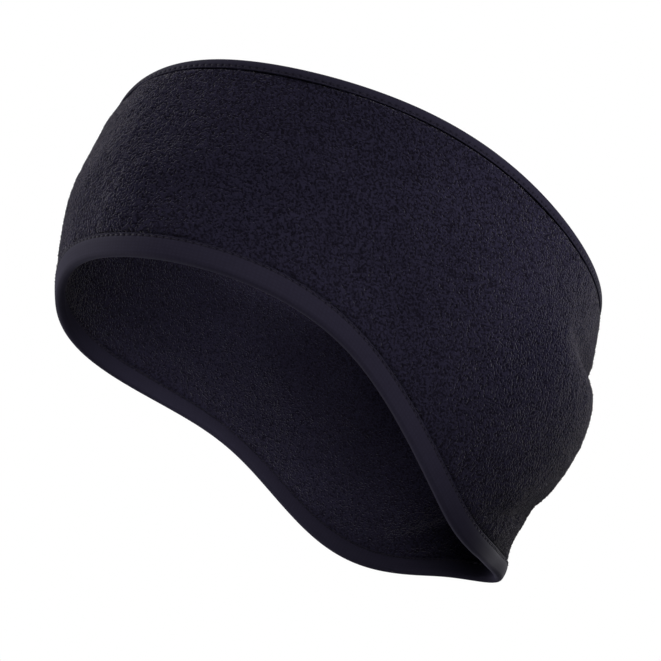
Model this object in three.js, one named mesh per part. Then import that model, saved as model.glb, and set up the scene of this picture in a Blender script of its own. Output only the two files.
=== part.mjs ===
// Ear warmer headband: a closed ring of thick fleece, narrow over the forehead and deep over the
// ears and the nape, with a stretch tape folded over its upper edge and another over its lower one.
// Millimetres, +Z up. The wearer faces -Y and their left side is +X.
// The origin is the middle of the hollow that the head fills.
import * as THREE from 'three';

// The ring as worn, measured between the middles of its wall
const bandWidth = 166;
const bandLength = 210;
const foreheadDepth = 70.5;
const backDepth = 113;
const rimWave = 4.0;
const headMiddle = 45;
const wornTilt = 21;

// Fleece, full and where the tapes press it, and the tapes
const fleeceThickness = 3.0;
const pressedThickness = 1.0;
const pressedRamp = 1.4;
const tapeThickness = 1.0;
const lowerTapeWidth = 7.8;
const upperTapeWidth = 4.2;
const clearance = 0.3;

// The point that the lower edge makes at the nape: how far out, how many degrees round to each
// side, and how far up as a share of the wall
const napePoint = 10;
const napeSpread = 9;
const napeHeight = 0.14;

// The folds that the loose fleece makes below and above its swell behind each ear. depth: how far
// one draws the wall in; angle and height: its middle; spread and width: how far it runs round and
// up; climb: how its height grows round towards the back, for each 100 degrees
const foldTable = [
  { depth: 1.9, angle: 157, spread: 14, height: 0.185, width: 0.05, climb: 0.6 },
  { depth: 3.5, angle: 153, spread: 14, height: 0.73, width: 0.045, climb: 0.1 },
];

// Facets: sections around the ring, and rows up the fleece between the tapes as shares of the way
const sectionCount = 108;
const fleeceRows = [0.06, 0.13, 0.19, 0.26, 0.38, 0.52, 0.63, 0.73, 0.87];

// A row for each section of one half, every 30 degrees from the forehead to the nape.
// drop: the lower edge, from 0 at the forehead's depth to 1 at the back's depth.
// rise: the upper edge, as a share of rimWave.
// hem to rim: the wall at six even heights, as shares of the reach of the plain oval.
const sectionTable = [
  { drop: 0.0, rise: 1.0, hem: 0.865, low: 0.92, belly: 0.945, waist: 0.945, high: 0.935, rim: 0.915 },
  { drop: 0.075, rise: 0.85, hem: 0.895, low: 0.94, belly: 0.955, waist: 0.95, high: 0.94, rim: 0.94 },
  { drop: 0.125, rise: 0.5, hem: 0.88, low: 0.9, belly: 0.915, waist: 0.935, high: 0.95, rim: 0.97 },
  { drop: 0.29, rise: 0.65, hem: 0.71, low: 0.805, belly: 0.865, waist: 0.91, high: 0.94, rim: 0.98 },
  { drop: 0.76, rise: -0.2, hem: 0.685, low: 0.795, belly: 0.88, waist: 0.93, high: 0.955, rim: 0.985 },
  { drop: 1.0, rise: 0.0, hem: 0.755, low: 0.88, belly: 0.98, waist: 1.035, high: 1.005, rim: 1.0 },
  { drop: 0.905, rise: 0.3, hem: 0.855, low: 0.95, belly: 1.045, waist: 1.095, high: 1.06, rim: 1.03 },
];
const heightNames = ['hem', 'low', 'belly', 'waist', 'high', 'rim'];

// A smooth closed curve round the ring: the cosine series that passes through one column's rows,
// the same on the left and the right
function aroundRing(column) {
  const last = sectionTable.length - 1;
  const endHalf = (index) => (index === 0 || index === last ? 0.5 : 1);
  const waves = sectionTable.map((_, wave) => {
    let sum = 0;
    sectionTable.forEach((section, row) => {
      sum += endHalf(row) * section[column] * Math.cos((wave * row * Math.PI) / last);
    });
    return (2 / last) * endHalf(wave) * sum;
  });
  return (angle) => waves.reduce((sum, size, wave) => sum + size * Math.cos(wave * angle), 0);
}

const dropAt = aroundRing('drop');
const riseAt = aroundRing('rise');
const reachAt = heightNames.map(aroundRing);

// A smooth curve up the wall through the six even heights, share 0 at the hem and 1 at the rim
function upWall(reaches, share) {
  const spans = reaches.length - 1;
  const span = THREE.MathUtils.clamp(Math.floor(share * spans), 0, spans - 1);
  const part = share * spans - span;
  const slopeAt = (index) => {
    const before = Math.max(index - 1, 0);
    const after = Math.min(index + 1, spans);
    return (reaches[after] - reaches[before]) / (after - before);
  };
  const squared = part * part;
  const cubed = squared * part;
  return (
    (2 * cubed - 3 * squared + 1) * reaches[span] +
    (cubed - 2 * squared + part) * slopeAt(span) +
    (3 * squared - 2 * cubed) * reaches[span + 1] +
    (cubed - squared) * slopeAt(span + 1)
  );
}

// A smooth bump that is 1 at its middle and fades to nothing a couple of widths away
function bell(offset, width) {
  return Math.exp(-((offset / width) ** 2));
}

// The turn from the forehead in degrees, 0 to 180 on both sides
function degreesRound(angle) {
  return THREE.MathUtils.radToDeg(Math.acos(Math.cos(angle)));
}

// How far the folds draw the wall in
function foldsAt(angle, share) {
  let sum = 0;
  foldTable.forEach((fold) => {
    const past = degreesRound(angle) - fold.angle;
    const above = share - fold.height - (fold.climb * past) / 100;
    sum += fold.depth * bell(past, fold.spread) * bell(above, fold.width);
  });
  return sum;
}

// The middle of the wall: angle 0 at the forehead, +90 degrees at the left ear
function wallMiddle(angle, share) {
  const halfWidth = bandWidth / 2;
  const halfLength = bandLength / 2;
  const reaches = reachAt.map((reach) => reach(angle));
  const nape = napePoint * bell(180 - degreesRound(angle), napeSpread) * bell(share, napeHeight);
  const reach = upWall(reaches, share) - foldsAt(angle, share) / halfWidth + nape / halfLength;
  const lowEdge = -THREE.MathUtils.lerp(foreheadDepth, backDepth, dropAt(angle));
  const highEdge = rimWave * riseAt(angle);
  return new THREE.Vector3(
    halfWidth * reach * Math.sin(angle),
    -halfLength * reach * Math.cos(angle),
    headMiddle + THREE.MathUtils.lerp(lowEdge, highEdge, share),
  );
}

// The wall's outward direction, from its slopes round and up
function wallOutward(angle, share) {
  const step = 0.004;
  const round = wallMiddle(angle + step, share).sub(wallMiddle(angle - step, share));
  const up = wallMiddle(angle, share + step).sub(wallMiddle(angle, share - step));
  return round.cross(up).normalize();
}

// A point off the wall's middle, by its distance out of it and its share of the way up
function wallPoint(angle, share, outward) {
  return wallMiddle(angle, share).addScaledVector(wallOutward(angle, share), outward);
}

// The share of the way up that lies a given distance inside the lower or the upper edge
function shareFromEdge(angle, edge, distance) {
  const step = 0.02;
  const inner = edge === 'low' ? step : 1 - step;
  const end = edge === 'low' ? 0 : 1;
  const perShare = wallMiddle(angle, inner).distanceTo(wallMiddle(angle, end)) / step;
  return edge === 'low' ? distance / perShare : 1 - distance / perShare;
}

// A closed ring solid from a function that gives one section's outline as points
function ringGeometry(outlineAt) {
  const positions = [];
  const faces = [];
  let pointCount = 0;
  for (let section = 0; section < sectionCount; section += 1) {
    const outline = outlineAt((section / sectionCount) * 2 * Math.PI);
    outline.forEach((point) => positions.push(point.x, point.y, point.z));
    pointCount = outline.length;
  }
  for (let section = 0; section < sectionCount; section += 1) {
    const here = section * pointCount;
    const next = ((section + 1) % sectionCount) * pointCount;
    for (let point = 0; point < pointCount; point += 1) {
      const after = (point + 1) % pointCount;
      faces.push(here + point, next + point, next + after);
      faces.push(here + point, next + after, here + after);
    }
  }
  const geometry = new THREE.BufferGeometry();
  geometry.setAttribute('position', new THREE.Float32BufferAttribute(positions, 3));
  geometry.setIndex(faces);
  geometry.computeVertexNormals();
  return geometry;
}

// Half of a bound edge's thickness, and half of the slot inside the folded tape
const boundHalf = pressedThickness / 2 + clearance + tapeThickness;
const slotHalf = pressedThickness / 2 + clearance;

// One section of the fleece: up its outer face, then down its inner one
function fleeceOutline(angle) {
  const lowPressedEnd = lowerTapeWidth + clearance;
  const highPressedEnd = upperTapeWidth + clearance;
  const pressed = pressedThickness / 2;
  const full = fleeceThickness / 2;
  const lowFull = shareFromEdge(angle, 'low', lowPressedEnd + pressedRamp);
  const highFull = shareFromEdge(angle, 'high', highPressedEnd + pressedRamp);
  const rows = [
    { share: shareFromEdge(angle, 'low', boundHalf), half: pressed },
    { share: shareFromEdge(angle, 'low', lowPressedEnd), half: pressed },
    { share: lowFull, half: full },
  ];
  fleeceRows.forEach((row) => {
    rows.push({ share: THREE.MathUtils.lerp(lowFull, highFull, row), half: full });
  });
  rows.push({ share: highFull, half: full });
  rows.push({ share: shareFromEdge(angle, 'high', highPressedEnd), half: pressed });
  rows.push({ share: shareFromEdge(angle, 'high', boundHalf), half: pressed });
  const outer = rows.map((row) => wallPoint(angle, row.share, row.half));
  const inner = rows.map((row) => wallPoint(angle, row.share, -row.half));
  return outer.concat(inner.reverse());
}

// One section of a tape folded over an edge: its outer face from leg to leg, then the slot's face
function tapeOutline(angle, edge, tapeWidth) {
  const corner = boundHalf * Math.SQRT1_2;
  const face = [
    { inset: tapeWidth, out: boundHalf },
    { inset: boundHalf, out: boundHalf },
    { inset: boundHalf - corner, out: corner },
    { inset: 0, out: 0 },
    { inset: boundHalf - corner, out: -corner },
    { inset: boundHalf, out: -boundHalf },
    { inset: tapeWidth, out: -boundHalf },
  ];
  const slot = [
    { inset: tapeWidth, out: -slotHalf },
    { inset: boundHalf, out: -slotHalf },
    { inset: boundHalf - slotHalf, out: 0 },
    { inset: boundHalf, out: slotHalf },
    { inset: tapeWidth, out: slotHalf },
  ];
  const place = ({ inset, out }) => wallPoint(angle, shareFromEdge(angle, edge, inset), out);
  const outline = face.concat(slot).map(place);
  return edge === 'low' ? outline.reverse() : outline;
}

const fleece = new THREE.MeshStandardMaterial({ color: '#1f1e28', roughness: 0.96, metalness: 0 });
const tape = new THREE.MeshStandardMaterial({ color: '#282733', roughness: 0.72, metalness: 0 });

const headband = new THREE.Group();
headband.rotation.x = -THREE.MathUtils.degToRad(wornTilt);

function addRing(name, outlineAt, material) {
  const ring = new THREE.Mesh(ringGeometry(outlineAt), material);
  ring.name = name;
  headband.add(ring);
}

addRing('fleece_band', fleeceOutline, fleece);
addRing('lower_binding', (angle) => tapeOutline(angle, 'low', lowerTapeWidth), tape);
addRing('upper_binding', (angle) => tapeOutline(angle, 'high', upperTapeWidth), tape.clone());

export default headband;
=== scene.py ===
# Fleece ear warmer headband, held at its worn shape, with folded stretch tape on both edges.
# Metres, +Z up, forehead towards -Y, the wearer's left towards +X.
import math
import bpy
import numpy as np
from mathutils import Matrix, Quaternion, Vector


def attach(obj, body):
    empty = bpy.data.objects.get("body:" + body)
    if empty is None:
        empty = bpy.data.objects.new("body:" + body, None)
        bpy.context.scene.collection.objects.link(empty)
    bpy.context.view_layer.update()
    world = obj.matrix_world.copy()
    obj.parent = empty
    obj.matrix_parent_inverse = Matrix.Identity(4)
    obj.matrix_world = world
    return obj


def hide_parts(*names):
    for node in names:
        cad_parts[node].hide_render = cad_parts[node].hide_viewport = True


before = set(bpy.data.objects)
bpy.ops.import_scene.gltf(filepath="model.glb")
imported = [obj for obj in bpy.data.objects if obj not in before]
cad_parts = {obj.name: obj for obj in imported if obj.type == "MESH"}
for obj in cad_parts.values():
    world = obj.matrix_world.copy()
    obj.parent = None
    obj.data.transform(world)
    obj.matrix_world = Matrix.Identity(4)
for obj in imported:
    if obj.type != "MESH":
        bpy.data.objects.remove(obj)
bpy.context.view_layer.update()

mm = 0.001

# Shape of the wall's middle, shared by every piece

band = {
    "halfWidth": 83 * mm,
    "halfLength": 105 * mm,
    "foreheadDepth": 70.5 * mm,
    "backDepth": 113 * mm,
    "rimWave": 4.0 * mm,
    "headMiddle": 45 * mm,
    "wornTilt": math.radians(21),
    "napePoint": 10 * mm,    # the lower edge's point at the nape, its spread in degrees each way
    "napeSpread": 9,         # and its height as a share of the wall
    "napeHeight": 0.14,
}

# the folds below and above the swell behind each ear: depth, angle and spread round the ring in
# degrees, height and width as shares of the wall, climb for each 100 degrees round
folds = [
    {"depth": 1.9 * mm, "angle": 157, "spread": 14, "height": 0.185, "width": 0.05, "climb": 0.6},
    {"depth": 3.5 * mm, "angle": 153, "spread": 14, "height": 0.73, "width": 0.045, "climb": 0.1},
]

# a row every 30 degrees from forehead to nape: lower edge's drop, upper edge's rise,
# then the wall's reach at six even heights from hem to rim, as shares of the plain oval's
sections = np.array([
    [0.0, 1.0, 0.865, 0.92, 0.945, 0.945, 0.935, 0.915],
    [0.075, 0.85, 0.895, 0.94, 0.955, 0.95, 0.94, 0.94],
    [0.125, 0.5, 0.88, 0.9, 0.915, 0.935, 0.95, 0.97],
    [0.29, 0.65, 0.71, 0.805, 0.865, 0.91, 0.94, 0.98],
    [0.76, -0.2, 0.685, 0.795, 0.88, 0.93, 0.955, 0.985],
    [1.0, 0.0, 0.755, 0.88, 0.98, 1.035, 1.005, 1.0],
    [0.905, 0.3, 0.855, 0.95, 1.045, 1.095, 1.06, 1.03],
])

edgeTape = {
    "width": (7.8 * mm, 4.2 * mm),       # of the lower and of the upper tape's legs
    "seamInset": (6.9 * mm, 3.3 * mm),   # the row of needle holes, inside the tape's edge
    "thickness": 1.0 * mm,
    "pressedHalf": 0.5 * mm,   # half of the fleece where the tape presses it
    "clearance": 0.3 * mm,
    "legRound": 0.5 * mm,      # the turned-under edge of each leg
    "crown": 0.12 * mm,        # how much each leg swells between fold and seam
    "seamPress": 0.14 * mm,    # the shallow trough that the whole seam draws in
    "stitchPitch": 2.5 * mm,
    "holeDepth": 0.34 * mm,
    "holeWidth": 0.34 * mm,    # across the seam
    "holeShare": 0.15,         # and along it, as a share of the pitch
    "around": 1800,
}

# the wall's middle to the outer face of a tape's leg
boundHalf = edgeTape["pressedHalf"] + edgeTape["clearance"] + edgeTape["thickness"]


# Cosine series round the ring: with f the column's seven rows at 0 to 180 degrees, the sum over
# waves k of a[k] * cos(k * angle), a[k] being the rows' type-one cosine transform
def aroundRing(values, angle):
    last = len(values) - 1
    row = np.arange(last + 1)
    ends = np.where((row == 0) | (row == last), 0.5, 1.0)
    waves = (2 / last) * ends * (np.cos(np.pi * np.outer(row, row) / last) @ (ends * values))
    return np.tensordot(np.cos(angle[..., None] * row), waves, axes=1)


# Catmull-Rom curve up the wall through the six even heights, share 0 at the hem, 1 at the rim
def upWall(reach, share):
    spans = reach.shape[-1] - 1
    slope = np.gradient(reach, axis=-1)
    span = np.clip(np.floor(share * spans), 0, spans - 1).astype(int)
    part = share * spans - span
    pick = lambda array, index: np.take_along_axis(array, index[..., None], axis=-1)[..., 0]
    return ((2 * part**3 - 3 * part**2 + 1) * pick(reach, span)
            + (part**3 - 2 * part**2 + part) * pick(slope, span)
            + (3 * part**2 - 2 * part**3) * pick(reach, span + 1)
            + (part**3 - part**2) * pick(slope, span + 1))


def bell(offset, width):
    return np.exp(-(offset / width) ** 2)


# Middle of the wall: an oval (halfWidth sin a, -halfLength cos a) times the reach at that angle
# and height, less the folds and plus the nape's point, each a bell round its own angle and
# height; the height runs evenly from the lower to the upper edge, and all is leant by the tilt
def wallMiddle(angle, share):
    angle, share = np.broadcast_arrays(angle, share)
    reach = np.stack([aroundRing(sections[:, 2 + i], angle) for i in range(6)], axis=-1)
    degrees = np.degrees(np.arccos(np.clip(np.cos(angle), -1, 1)))
    reach = upWall(reach, share)
    for fold in folds:
        past = degrees - fold["angle"]
        above = share - fold["height"] - fold["climb"] * past / 100
        reach = reach - (fold["depth"] / band["halfWidth"]
                         * bell(past, fold["spread"]) * bell(above, fold["width"]))
    reach = reach + (band["napePoint"] / band["halfLength"]
                     * bell(180 - degrees, band["napeSpread"]) * bell(share, band["napeHeight"]))
    drop = aroundRing(sections[:, 0], angle)
    low = -(band["foreheadDepth"] + (band["backDepth"] - band["foreheadDepth"]) * drop)
    high = band["rimWave"] * aroundRing(sections[:, 1], angle)
    x = band["halfWidth"] * reach * np.sin(angle)
    y = -band["halfLength"] * reach * np.cos(angle)
    z = band["headMiddle"] + low + (high - low) * share
    c, s = math.cos(band["wornTilt"]), math.sin(band["wornTilt"])
    return np.stack([x, y * c + z * s, z * c - y * s], axis=-1)


# Outward direction of the wall: the cross product of its slopes round and up
def wallOutward(angle, share):
    step = 0.004
    aroundSlope = wallMiddle(angle + step, share) - wallMiddle(angle - step, share)
    upSlope = wallMiddle(angle, share + step) - wallMiddle(angle, share - step)
    outward = np.cross(aroundSlope, upSlope)
    return outward / np.linalg.norm(outward, axis=-1, keepdims=True)


def wallPoint(angle, share, out):
    return wallMiddle(angle, share) + wallOutward(angle, share) * np.asarray(out)[..., None]


# Share of the way up that lies a given distance inside an edge (0 the lower, 1 the upper)
def shareFromEdge(angle, edge, distance):
    step = 0.02
    inner = step if edge == 0 else 1 - step
    span = wallMiddle(angle, inner) - wallMiddle(angle, float(edge))
    perShare = np.linalg.norm(span, axis=-1) / step
    return distance / perShare if edge == 0 else 1 - distance / perShare


# Length along a closed line of points, from 0 to the full girth, one value more than points
def lengthAlong(points):
    gaps = np.linalg.norm(np.roll(points, -1, axis=0) - points, axis=-1)
    return np.concatenate([[0.0], np.cumsum(gaps)])


# How many stitches an edge takes, and each angle's place among them
def stitchCount(angle, edge):
    seam = wallMiddle(angle, shareFromEdge(angle, edge, edgeTape["seamInset"][edge]))
    along = lengthAlong(seam)
    count = round(along[-1] / edgeTape["stitchPitch"])
    return count, along[:-1] / along[-1] * count


# Mesh building

def makeObject(name, points, faces, uv=None, shade=None):
    mesh = bpy.data.meshes.new(name)
    sides = faces.shape[1]
    mesh.vertices.add(len(points))
    mesh.vertices.foreach_set("co", points.astype(np.float32).ravel())
    mesh.loops.add(faces.size)
    mesh.loops.foreach_set("vertex_index", faces.astype(np.int32).ravel())
    mesh.polygons.add(len(faces))
    mesh.polygons.foreach_set("loop_start", np.arange(0, faces.size, sides, dtype=np.int32))
    mesh.polygons.foreach_set("use_smooth", np.ones(len(faces), dtype=bool))
    if uv is not None:
        mesh.uv_layers.new(name="cloth").data.foreach_set("uv", uv.astype(np.float32).ravel())
    # shade: a random tone on each tuft, and painted shade in the needle holes on the tapes
    if shade is not None:
        layer = mesh.attributes.new("shade", "FLOAT", "POINT")
        layer.data.foreach_set("value", shade.astype(np.float32).ravel())
    mesh.update(calc_edges=True)
    mesh.validate()
    piece = bpy.data.objects.new(name, mesh)
    bpy.context.scene.collection.objects.link(piece)
    return piece


# Closed ring solid from an array of outlines (around, outline point, xyz). Its UV is in metres:
# along the ring, and along the outline
def makeRing(name, outlines, shade=None):
    around, count, _ = outlines.shape
    here = np.arange(around)[:, None] * count
    following = ((np.arange(around) + 1) % around)[:, None] * count
    point = np.arange(count)[None, :]
    after = (point + 1) % count
    faces = np.stack([here + point, following + point, following + after, here + after], axis=-1)
    girth = lengthAlong(outlines.mean(axis=1))
    profile = lengthAlong(outlines[0])
    u0, u1 = girth[:-1, None] + 0 * point, girth[1:, None] + 0 * point
    v0, v1 = profile[None, :-1] + 0 * here, profile[None, 1:] + 0 * here
    uv = np.stack([np.stack([u0, v0], -1), np.stack([u1, v0], -1),
                   np.stack([u1, v1], -1), np.stack([u0, v1], -1)], axis=2)
    return makeObject(name, outlines.reshape(-1, 3), faces.reshape(-1, 4), uv.reshape(-1, 2),
                      shade)


# Fleece cloth

fleeceCloth = {
    "around": 800,
    "hemRows": 4,             # rows from each end to where it is full again
    "rowsUp": 49,             # rows on each face between those
    "tuck": 0.1 * mm,         # how far past a tape's leg it stays pressed
    "halfThickness": 1.5 * mm,
    "ramp": 1.0 * mm,         # how soon it is full again past the tape
    "knee": (0.35, 0.8),      # share of the ramp, and of the full half thickness there
    "clumpSize": 1.7 * mm,
    "clumpHeight": 0.11 * mm,
    "swellSize": 16 * mm,     # slow unevenness of the soft wall
    "swellHeight": 0.35 * mm,
    "noiseSpan": (0.6, 0.095),   # girth and depth that the random heights take their grid for
    "seed": 7,
}


# Smooth random heights on a closed grid: white noise blurred by a bell of the given size, which
# in wave numbers is exp(-2 (pi size frequency)^2), then brought to a spread of one
def softNoise(rng, shape, spacing, size):
    white = np.fft.fft2(rng.normal(size=shape))
    fy = np.fft.fftfreq(shape[0], spacing[0])[:, None]
    fx = np.fft.fftfreq(shape[1], spacing[1])[None, :]
    soft = np.fft.ifft2(white * np.exp(-2 * (np.pi * size / 2) ** 2 * (fy**2 + fx**2))).real
    return soft / soft.std()


# Up the outer face and down the inner one. The half thickness is the pressed one inside a tape,
# climbs over the ramp, and carries the pile's clumps and the slow swell where it is free. The
# distances of both faces from the wall's middle are returned too
def buildFleece():
    s = fleeceCloth
    angle = np.linspace(0, 2 * np.pi, s["around"], endpoint=False)[:, None]
    kneeWay, kneeHalf = s["knee"]
    tuck = np.array(edgeTape["width"])[:, None] + s["tuck"]
    insets = np.concatenate([boundHalf + 0 * tuck, tuck, tuck + kneeWay * s["ramp"],
                             tuck + s["ramp"]], axis=1)
    lowRows = shareFromEdge(angle, 0, insets[:1].repeat(s["around"], 0))
    highRows = shareFromEdge(angle, 1, insets[1:, ::-1].repeat(s["around"], 0))
    way = np.linspace(0, 1, s["rowsUp"] + 2)[None, 1:-1]
    middle = lowRows[:, -1:] + (highRows[:, :1] - lowRows[:, -1:]) * way
    share = np.concatenate([lowRows, middle, highRows], axis=1)
    full, pressed = s["halfThickness"], edgeTape["pressedHalf"]
    climb = np.array([pressed, pressed, kneeHalf * full, full])
    half = np.concatenate([climb, np.full(s["rowsUp"], full), climb[::-1]])[None, :]
    free = np.clip((half - pressed) / (full - pressed), 0, 1)
    rng = np.random.default_rng(s["seed"])
    grid = share.shape
    spacing = [span / points for span, points in zip(s["noiseSpan"], grid)]
    swell = softNoise(rng, grid, spacing, s["swellSize"]) * s["swellHeight"] * free
    outer = half + free * softNoise(rng, grid, spacing, s["clumpSize"]) * s["clumpHeight"] + swell
    inner = -half + free * softNoise(rng, grid, spacing, s["clumpSize"]) * s["clumpHeight"] + swell
    outside = wallPoint(angle, share, outer)
    inside = wallPoint(angle, share, inner)
    ring = makeRing("fleeceCloth", np.concatenate([outside, inside[:, ::-1]], axis=1))
    return ring, {1: outer, -1: inner}


fleece, fleeceFaces = buildFleece()
print("fleece made", len(fleece.data.polygons), "faces")


# Edge tapes

# Outline of a folded tape as (inset from the edge, distance out): outer leg, round fold, inner
# leg, its rounded end, the slot's face, and the outer leg's rounded end. The last column says how
# much of a needle hole each point takes: a bell across the seam. The same bell later sets the
# painted shade that darkens the tape in each needle hole
def tapeProfile(edge):
    t = edgeTape
    seam = t["seamInset"][edge]
    bound = boundHalf
    slot = bound - t["thickness"]
    end = t["width"][edge] - t["legRound"]
    hole = t["holeWidth"]
    nearSeam = seam + hole * np.array([1.6, 0.9, 0.35, -0.35, -0.9, -1.6])
    plain = np.linspace(seam - 3 * hole, bound, 5)
    leg = np.concatenate([[end], nearSeam, plain])
    swell = t["crown"] * np.sin(np.pi * (end - leg) / (end - bound))
    fromSeam = (leg - seam) / hole
    crown = bound + swell - t["seamPress"] * np.exp(-(fromSeam / 2) ** 2)
    turn = np.linspace(np.pi / 2, -np.pi / 2, 11)[1:-1]
    legEnd = np.linspace(-np.pi / 2, np.pi / 2, 7)[1:-1]
    middle = (bound + slot) / 2
    outerLeg = np.stack([leg, crown, np.exp(-fromSeam**2)], 1)
    fold = np.stack([bound - bound * np.cos(turn), bound * np.sin(turn), 0 * turn], 1)
    innerLeg = outerLeg[::-1] * [1, -1, 1]
    endX = end + t["legRound"] * np.cos(legEnd)
    innerEnd = np.stack([endX, t["legRound"] * np.sin(legEnd) - middle, 0 * legEnd], 1)
    slotLeg = np.array([[end, -slot, 0], [bound, -slot, 0], [bound - slot, 0, 0],
                        [bound, slot, 0], [end, slot, 0]])
    outerEnd = innerEnd[::-1] * [1, -1, 1]
    return np.concatenate([outerLeg, fold, innerLeg, innerEnd, slotLeg, outerEnd])


# The outline carried round an edge. At each stitch hole, a narrow bell of the stitch phase, the
# seam's points are sunk towards the fleece. That bell is also stored as the tape's shade
# attribute, which the tape's material turns into painted shade in the holes
def buildTape(name, edge):
    t = edgeTape
    angle = np.linspace(0, 2 * np.pi, t["around"], endpoint=False)[:, None]
    _, phase = stitchCount(angle[:, 0], edge)
    fromHole = (phase + 0.5) % 1 - 0.5
    profile = tapeProfile(edge)[None]
    hole = bell(fromHole, t["holeShare"])[:, None] * profile[..., 2]
    inset, out = profile[..., 0], profile[..., 1]
    share = shareFromEdge(angle, edge, inset + 0 * angle)
    outlines = wallPoint(angle, share, out - np.sign(out) * t["holeDepth"] * hole)
    if edge == 0:
        outlines, hole = outlines[:, ::-1], hole[:, ::-1]
    # painted shade: the hole bell goes on as the shade attribute, darkening the tape in each
    # needle hole
    return makeRing(name, outlines, hole)


lowerTape = buildTape("lowerTape", 0)
upperTape = buildTape("upperTape", 1)
print("tapes made", len(lowerTape.data.polygons), "faces each")


# Stitching

# rise: how far a stitch's middle stands off its holes; reach: its length as a share of the pitch;
# swing: how far it bends to both sides of the seam; side: 1 outside, -1 inside
thread = {
    "Needle": {"side": 1, "radius": 0.2 * mm, "rise": 0.42 * mm, "reach": 0.86, "swing": 0.0},
    "Looper": {"side": -1, "radius": 0.3 * mm, "rise": 0.75 * mm, "reach": 0.94,
               "swing": 0.3 * mm},
    "sides": 6,
    "steps": 7,
    "samples": 4000,   # of the seam, to find where each stitch lies
}


# Small tubes, one for each stitch: from hole to hole the thread rises as a half sine and dives at
# both ends. A tube's rings are circles square to its own path
def buildStitches(name, edge, stitch):
    angleFine = np.linspace(0, 2 * np.pi, thread["samples"], endpoint=False)
    count, phase = stitchCount(angleFine, edge)
    steps, sides = thread["steps"], thread["sides"]
    way = np.linspace(0, 1, steps)[None, :]
    place = np.arange(count)[:, None] + 0.5 + stitch["reach"] * (way - 0.5)
    angle = np.interp(place, phase, angleFine)
    inset = edgeTape["seamInset"][edge] + stitch["swing"] * np.sin(2 * np.pi * way)
    share = shareFromEdge(angle, edge, inset + 0 * angle)
    base = boundHalf - edgeTape["seamPress"] - edgeTape["holeDepth"]
    out = stitch["side"] * (base + stitch["rise"] * np.sin(np.pi * way) + 0 * angle)
    centre = wallPoint(angle, share, out)
    along = np.gradient(centre, axis=1)
    along /= np.linalg.norm(along, axis=-1, keepdims=True)
    outward = wallOutward(angle, share)
    across = np.cross(along, outward)
    across /= np.linalg.norm(across, axis=-1, keepdims=True)
    outward = np.cross(across, along)
    turn = np.linspace(0, 2 * np.pi, sides, endpoint=False)[:, None]
    ring = np.cos(turn) * across[:, :, None] + np.sin(turn) * outward[:, :, None]
    taper = np.sqrt(np.clip(1 - (2 * way - 1) ** 6, 0.12, 1))[..., None, None]
    points = centre[:, :, None] + stitch["radius"] * taper * ring
    block = (np.arange(count) * steps * sides)[:, None, None]
    step = (np.arange(steps - 1) * sides)[None, :, None]
    corner = np.arange(sides)[None, None, :]
    after = (corner + 1) % sides
    walls = np.stack([block + step + corner, block + step + sides + corner,
                      block + step + sides + after, block + step + after], -1).reshape(-1, 4)
    cap = np.array([[0, 1, 2, 3], [0, 3, 4, 5]])
    starts = (block[:, 0] + cap.reshape(1, -1)).reshape(-1, 4)
    ends = (block[:, 0] + (steps - 1) * sides + cap[:, ::-1].reshape(1, -1)).reshape(-1, 4)
    return makeObject(name, points.reshape(-1, 3), np.concatenate([walls, starts, ends]))


stitchPieces = [buildStitches(label + kind + "Thread", edge, thread[kind])
                for edge, label in enumerate(("lower", "upper")) for kind in ("Needle", "Looper")]
print("stitches made", sum(len(p.data.polygons) for p in stitchPieces), "faces")


# Pile: the curled tufts that brushing raises on the fleece

pile = {
    "outer": {"side": 1, "count": 49000, "seed": 11},
    "inner": {"side": -1, "count": 36000, "seed": 12},
    "length": 1.0 * mm,
    "width": 0.3 * mm,
    "height": 0.21 * mm,      # how far a tuft's back stands off the cloth
    "sunk": 0.05 * mm,        # how deep its root sits in it
    "start": 0.8 * mm,        # how far past a tape's leg the tufts begin
    "lengths": (0.5, 1.4),    # least and most of each measure, as shares of it
    "widths": (0.6, 1.3),
    "heights": (0.4, 1.5),
    "curls": (-0.35, 0.35),   # how far the knee is off to one side, as a share of the length
}


# The cloth's own distance from the wall's middle on one face, read between its grid's points
def faceDistance(angle, share, side):
    s = fleeceCloth
    low, high = (shareFromEdge(angle, edge, edgeTape["width"][edge] + s["tuck"] + s["ramp"])
                 for edge in (0, 1))
    way = np.clip((share - low) / (high - low), 0, 1)
    row = s["hemRows"] - 1 + way * (s["rowsUp"] + 1)
    column = angle / (2 * np.pi) * s["around"]
    r, c = np.floor(row).astype(int), np.floor(column).astype(int)
    grid = fleeceFaces[side]
    here, there = (grid[k, r] * (1 - row + r) + grid[k, r + 1] * (row - r)
                   for k in (c % s["around"], (c + 1) % s["around"]))
    return here + (column - c) * (there - here)


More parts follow.
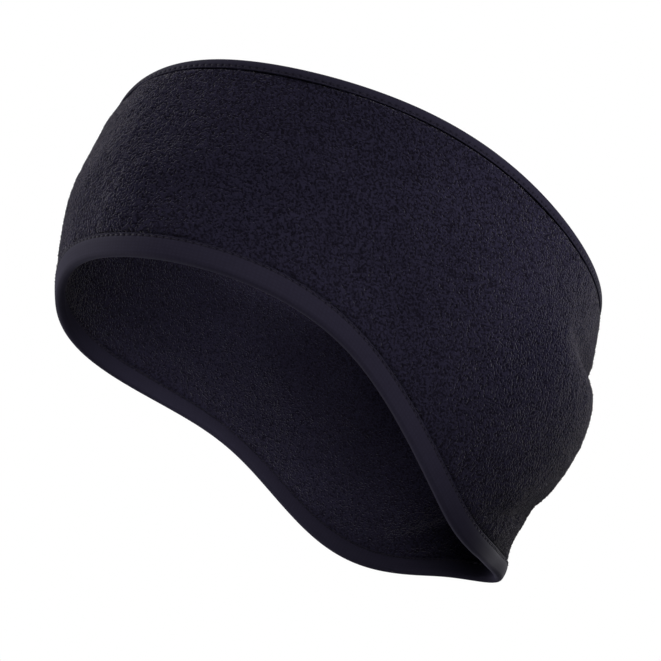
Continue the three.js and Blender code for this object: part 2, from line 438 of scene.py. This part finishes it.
# Each tuft is a bent blade of two quads that lies along a random direction: its root and tip sink
# into the cloth and its knee, off to one side, stands off it. Its shade is random
def buildPile(name, coat):
    side, count = coat["side"], coat["count"]
    rng = np.random.default_rng(coat["seed"])
    angle = rng.uniform(0, 2 * np.pi, count)
    low = shareFromEdge(angle, 0, edgeTape["width"][0] + pile["start"])
    high = shareFromEdge(angle, 1, edgeTape["width"][1] + pile["start"])
    share = low + (high - low) * rng.uniform(0, 1, count)
    root = wallPoint(angle, share, faceDistance(angle, share, side) - side * pile["sunk"])
    outward = wallOutward(angle, share) * side
    along = rng.normal(size=(count, 3))
    along -= (along * outward).sum(1, keepdims=True) * outward
    along /= np.linalg.norm(along, axis=1, keepdims=True)
    across = np.cross(outward, along)
    length = pile["length"] * rng.uniform(*pile["lengths"], count)[:, None]
    height = pile["height"] * rng.uniform(*pile["heights"], count)[:, None]
    curl = length * rng.uniform(*pile["curls"], count)[:, None]
    half = across * pile["width"] / 2 * rng.uniform(*pile["widths"], count)[:, None]
    knee = root + 0.5 * length * along + height * outward + curl * across
    tip = root + length * along + 0.3 * height * outward
    points = np.stack([root - half * 0.6, root + half * 0.6, knee - half, knee + half,
                       tip - half * 0.4, tip + half * 0.4], axis=1)
    block = (np.arange(count) * 6)[:, None, None]
    faces = (block + np.array([[0, 1, 3, 2], [2, 3, 5, 4]])[None]).reshape(-1, 4)
    shade = np.repeat(rng.uniform(0, 1, count), 6)
    return makeObject(name, points.reshape(-1, 3), faces, shade=shade)


outerPile = buildPile("outerPile", pile["outer"])
innerPile = buildPile("innerPile", pile["inner"])
print("pile made", pile["outer"]["count"] + pile["inner"]["count"], "tufts")


# Materials

def colour(hexValue):
    channels = [int(hexValue[i:i + 2], 16) / 255 for i in (1, 3, 5)]
    linear = [c / 12.92 if c <= 0.04045 else ((c + 0.055) / 1.055) ** 2.4 for c in channels]
    return (*linear, 1.0)


# Adds a node: settings are its properties, inputs its socket values, or (node, socket) to link
def addNode(tree, kind, settings=None, inputs=None):
    node = tree.nodes.new(kind)
    for key, value in (settings or {}).items():
        setattr(node, key, value)
    for key, value in (inputs or {}).items():
        if isinstance(value, tuple) and hasattr(value[0], "outputs"):
            tree.links.new(value[0].outputs[value[1]], node.inputs[key])
        else:
            node.inputs[key].default_value = value
    return node


def newMaterial(name):
    material = bpy.data.materials.new(name)
    material.use_nodes = True
    material.node_tree.nodes.clear()
    return material, material.node_tree


# The fleece's own grain, shared by the cloth and its tufts: crooked little curls about 1 mm wide
# with thin dark gaps between them, from a single smooth noise that a coarser one bends
def fleeceGrain(tree):
    place = addNode(tree, "ShaderNodeTexCoord")
    curls = addNode(tree, "ShaderNodeTexNoise", inputs={
        "Vector": (place, "Object"), "Scale": 1 / (0.8 * mm), "Detail": 0.4, "Roughness": 0.5,
        "Distortion": 0.6})
    grain = addNode(tree, "ShaderNodeMapRange", {"interpolation_type": "SMOOTHSTEP"}, {
        "Value": (curls, "Fac"), "From Min": 0.28, "From Max": 0.66})
    patches = addNode(tree, "ShaderNodeTexNoise", inputs={
        "Vector": (place, "Object"), "Scale": 1 / (30 * mm), "Detail": 2.0})
    worn = addNode(tree, "ShaderNodeMapRange", inputs={
        "Value": (patches, "Fac"), "From Min": 0.3, "From Max": 0.7,
        "To Min": 0.92, "To Max": 1.08})
    tone = addNode(tree, "ShaderNodeMix", {"data_type": "RGBA"}, {
        "Factor": (grain, "Result"), "A": colour("#121018"), "B": colour("#211f2d")})
    shaded = addNode(tree, "ShaderNodeVectorMath", {"operation": "SCALE"}, {
        "Vector": (tone, "Result"), "Scale": (worn, "Result")})
    return grain, shaded


# Brushed double-faced fleece: fully matt pile of fine polyester, its curls lighter than the gaps
# between them, with a velvety pale edge where the fuzz is seen side on
def brushedFleece():
    material, tree = newMaterial("brushedFleece")
    grain, shaded = fleeceGrain(tree)
    bump = addNode(tree, "ShaderNodeBump", inputs={
        "Strength": 1.0, "Distance": 0.26 * mm, "Height": (grain, "Result")})
    cloth = addNode(tree, "ShaderNodeBsdfPrincipled", inputs={
        "Base Color": (shaded, "Vector"), "Roughness": 1.0, "Specular IOR Level": 0.0,
        "Sheen Weight": 0.17, "Sheen Roughness": 0.3, "Sheen Tint": colour("#e6e2e6"),
        "Normal": (bump, "Normal")})
    addNode(tree, "ShaderNodeOutputMaterial", inputs={"Surface": (cloth, "BSDF")})
    return material


# Fleece tufts: the same dyed polyester combed up, the same grain, each tuft a shade of its own
def fleeceTuft():
    material, tree = newMaterial("fleeceTuft")
    _, shaded = fleeceGrain(tree)
    own = addNode(tree, "ShaderNodeAttribute", {"attribute_name": "shade"})
    lift = addNode(tree, "ShaderNodeMapRange", inputs={
        "Value": (own, "Fac"), "To Min": 0.8, "To Max": 1.2})
    tone = addNode(tree, "ShaderNodeVectorMath", {"operation": "SCALE"}, {
        "Vector": (shaded, "Vector"), "Scale": (lift, "Result")})
    strand = addNode(tree, "ShaderNodeBsdfPrincipled", inputs={
        "Base Color": (tone, "Vector"), "Roughness": 1.0, "Specular IOR Level": 0.0,
        "Sheen Weight": 0.15, "Sheen Roughness": 0.3, "Sheen Tint": colour("#e6e2e6")})
    addNode(tree, "ShaderNodeOutputMaterial", inputs={"Surface": (strand, "BSDF")})
    return material


# Fine-knit stretch tape: smooth, slightly satin, with tiny wales along it, courses across and
# painted shade in its needle holes.
# The wales are 0.55 mm apart, coarser than the real 0.3 mm so that they show at all
def knitTape():
    material, tree = newMaterial("knitTape")
    place = addNode(tree, "ShaderNodeUVMap", {"uv_map": "cloth"})
    wales = addNode(tree, "ShaderNodeTexWave", {"wave_type": "BANDS", "bands_direction": "Y"}, {
        "Vector": (place, "UV"), "Scale": 1 / (0.55 * mm) / 20 * math.pi, "Distortion": 0.0})
    courses = addNode(tree, "ShaderNodeTexWave", {"wave_type": "BANDS", "bands_direction": "X"}, {
        "Vector": (place, "UV"), "Scale": 1 / (0.7 * mm) / 20 * math.pi, "Distortion": 0.0})
    solid = addNode(tree, "ShaderNodeTexCoord")
    slub = addNode(tree, "ShaderNodeTexNoise", inputs={
        "Vector": (solid, "Object"), "Scale": 1 / (1.6 * mm), "Detail": 2.0})
    loops = addNode(tree, "ShaderNodeMath", {"operation": "MULTIPLY"}, {
        0: (wales, "Fac"), 1: (courses, "Fac")})
    grain = addNode(tree, "ShaderNodeMix", {"data_type": "FLOAT"}, {
        "Factor": 0.55, "A": (loops, "Value"), "B": (slub, "Fac")})
    # painted shade: the needle holes' bell mixes the tape towards near black, standing in for the
    # shadow in each hole
    holeShadeMask = addNode(tree, "ShaderNodeAttribute", {"attribute_name": "shade"})
    tone = addNode(tree, "ShaderNodeMix", {"data_type": "RGBA"}, {
        "Factor": (grain, "Result"), "A": colour("#1d1b26"), "B": colour("#24222f")})
    shaded = addNode(tree, "ShaderNodeMix", {"data_type": "RGBA"}, {
        "Factor": (holeShadeMask, "Fac"), "A": (tone, "Result"), "B": colour("#08070c")})
    bump = addNode(tree, "ShaderNodeBump", inputs={
        "Strength": 0.25, "Distance": 0.06 * mm, "Height": (grain, "Result")})
    knit = addNode(tree, "ShaderNodeBsdfPrincipled", inputs={
        "Base Color": (shaded, "Result"), "Roughness": 0.75, "Specular IOR Level": 0.02,
        "Sheen Weight": 0.01, "Sheen Roughness": 0.35, "Sheen Tint": colour("#d5d2e6"),
        "Normal": (bump, "Normal")})
    addNode(tree, "ShaderNodeOutputMaterial", inputs={"Surface": (knit, "BSDF")})
    return material


# Spun polyester sewing thread: a hard little twist with a faint gloss
def sewingThread():
    material, tree = newMaterial("sewingThread")
    place = addNode(tree, "ShaderNodeTexCoord")
    twist = addNode(tree, "ShaderNodeTexNoise", inputs={
        "Vector": (place, "Object"), "Scale": 1 / (0.25 * mm), "Detail": 1.0})
    tone = addNode(tree, "ShaderNodeMix", {"data_type": "RGBA"}, {
        "Factor": (twist, "Fac"), "A": colour("#121018"), "B": colour("#1f1c28")})
    bump = addNode(tree, "ShaderNodeBump", inputs={
        "Strength": 0.5, "Distance": 0.08 * mm, "Height": (twist, "Fac")})
    spun = addNode(tree, "ShaderNodeBsdfPrincipled", inputs={
        "Base Color": (tone, "Result"), "Roughness": 0.6, "Specular IOR Level": 0.08,
        "Normal": (bump, "Normal")})
    addNode(tree, "ShaderNodeOutputMaterial", inputs={"Surface": (spun, "BSDF")})
    return material


fleeceFinish = brushedFleece()
tuftFinish = fleeceTuft()
tapeFinish = knitTape()
threadFinish = sewingThread()
for piece, finish, slotName in (
    (fleece, fleeceFinish, "fleece"),
    (outerPile, tuftFinish, "fleece"),
    (innerPile, tuftFinish, "fleece"),
    (lowerTape, tapeFinish, "binding_tape"),
    (upperTape, tapeFinish, "binding_tape"),
    *((stitches, threadFinish, "binding_tape") for stitches in stitchPieces),
):
    piece.data.materials.append(finish)
    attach(piece, "root")
print("materials set")

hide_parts("fleece_band")
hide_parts("lower_binding")
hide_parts("upper_binding")


# Studio: pale floor, soft lights and the photograph's camera

studio = {
    "floorDrop": 0.6,
    "floorHalf": 12.0,
    "roomFill": 0.02,
    # disc lamps: name, azimuth and elevation from the band's middle, size and watts
    "softboxAway": 1.3,
    "softboxes": [
        ("frontKey", 62, 4, 0.4, 8),
        ("sideKey", 100, 42, 0.5, 7),
        ("leftFill", -45, -10, 0.5, 14),
        ("farFill", 200, -6, 0.35, 10),
    ],
    # soft-edged spots for one part of the cloth: name, azimuth, elevation and distance from the
    # place that each is aimed at, that place, and watts
    "spotCone": 14,
    "spotSize": 0.06,
    "spots": [
        ("earAccent", 116, -8, 0.8, (0.07, 0.06, 0.028), 34),
        ("innerAccent", 72, -27, 0.52, (-0.073, -0.014, -0.004), 12),
    ],
    # a wide soft sun from the far left whitens the floor and rims the forehead
    "sunStrength": 3.6,
    "sunAngle": 35,
    "sunPlace": (315, 40, 2.0),
}

half, drop = studio["floorHalf"], studio["floorDrop"]
floorCorners = np.array([[-half, -half, -drop], [half, -half, -drop],
                         [half, half, -drop], [-half, half, -drop]])
floor = makeObject("studioFloor", floorCorners, np.array([[0, 1, 2, 3]]))
# matt white paper with a light of its own, so that the floor stays pale far from the lamps
paper, paperTree = newMaterial("whitePaper")
paperNode = addNode(paperTree, "ShaderNodeBsdfPrincipled", inputs={
    "Base Color": colour("#e8e8e8"), "Roughness": 0.9, "Specular IOR Level": 0.1,
    "Emission Color": colour("#ffffff"), "Emission Strength": 0.3})
addNode(paperTree, "ShaderNodeOutputMaterial", inputs={"Surface": (paperNode, "BSDF")})
floor.data.materials.append(paper)
floor.visible_diffuse = False   # it throws no light back up on the cloth

# A plain white room: the camera sees it white, and it fills the shadows more softly than that
world = bpy.data.worlds.new("softRoom")
world.use_nodes = True
roomTree = world.node_tree
ray = addNode(roomTree, "ShaderNodeLightPath")
seen = addNode(roomTree, "ShaderNodeMapRange", inputs={
    "Value": (ray, "Is Camera Ray"), "To Min": studio["roomFill"], "To Max": 1.0})
room = roomTree.nodes["Background"]
room.inputs["Color"].default_value = (1, 1, 1, 1)
roomTree.links.new(seen.outputs["Result"], room.inputs["Strength"])
bpy.context.scene.world = world
bpy.context.scene.view_settings.view_transform = "Standard"


# The way to something that is seen at an azimuth and elevation, in degrees, and a distance
def standAt(azimuth, elevation, distance):
    a, e = math.radians(azimuth), math.radians(elevation)
    return Vector((math.sin(a) * math.cos(e), -math.cos(a) * math.cos(e), math.sin(e))) * distance


# A lamp that stands that way from the place it is aimed at
def addLamp(name, kind, offset, strength, aim=(0, 0, 0), **settings):
    light = bpy.data.lights.new(name, kind)
    light.energy = strength
    for key, value in settings.items():
        setattr(light, key, value)
    lamp = bpy.data.objects.new(name, light)
    lamp.location = Vector(aim) + offset
    lamp.rotation_euler = (-offset).to_track_quat("-Z", "Y").to_euler()
    lamp.visible_camera = kind != "AREA"
    bpy.context.scene.collection.objects.link(lamp)


for name, azimuth, elevation, size, watts in studio["softboxes"]:
    addLamp(name, "AREA", standAt(azimuth, elevation, studio["softboxAway"]), watts,
            shape="DISK", size=size)
for name, azimuth, elevation, distance, aim, watts in studio["spots"]:
    addLamp(name, "SPOT", standAt(azimuth, elevation, distance), watts, aim, spot_blend=1.0,
            spot_size=math.radians(studio["spotCone"]), shadow_soft_size=studio["spotSize"])
addLamp("rimSun", "SUN", standAt(*studio["sunPlace"]), studio["sunStrength"],
        angle=math.radians(studio["sunAngle"]))

view = {
    "azimuth": 62.8,
    "elevation": -16.9,
    "roll": -2.5,
    "distance": 0.457,
    "lens": 66.4,
    "sensor": 36.0,
    "frame": 661,       # the photograph's width and height in pixels
    "middleX": 316.0,   # where the headband's origin lies in the photograph, in pixels
    "middleY": 321.9,
}
cameraData = bpy.data.cameras.new("photoCamera")
cameraData.lens = view["lens"]
cameraData.sensor_width = view["sensor"]
cameraData.shift_x = 0.5 - view["middleX"] / view["frame"]
cameraData.shift_y = view["middleY"] / view["frame"] - 0.5
cameraData.dof.use_dof = False
camera = bpy.data.objects.new("photoCamera", cameraData)
camera.location = standAt(view["azimuth"], view["elevation"], view["distance"])
upright = (-camera.location).to_track_quat("-Z", "Y")
camera.rotation_euler = (upright @ Quaternion((0, 0, 1), math.radians(view["roll"]))).to_euler()
bpy.context.scene.collection.objects.link(camera)
bpy.context.scene.camera = camera
print("studio set")
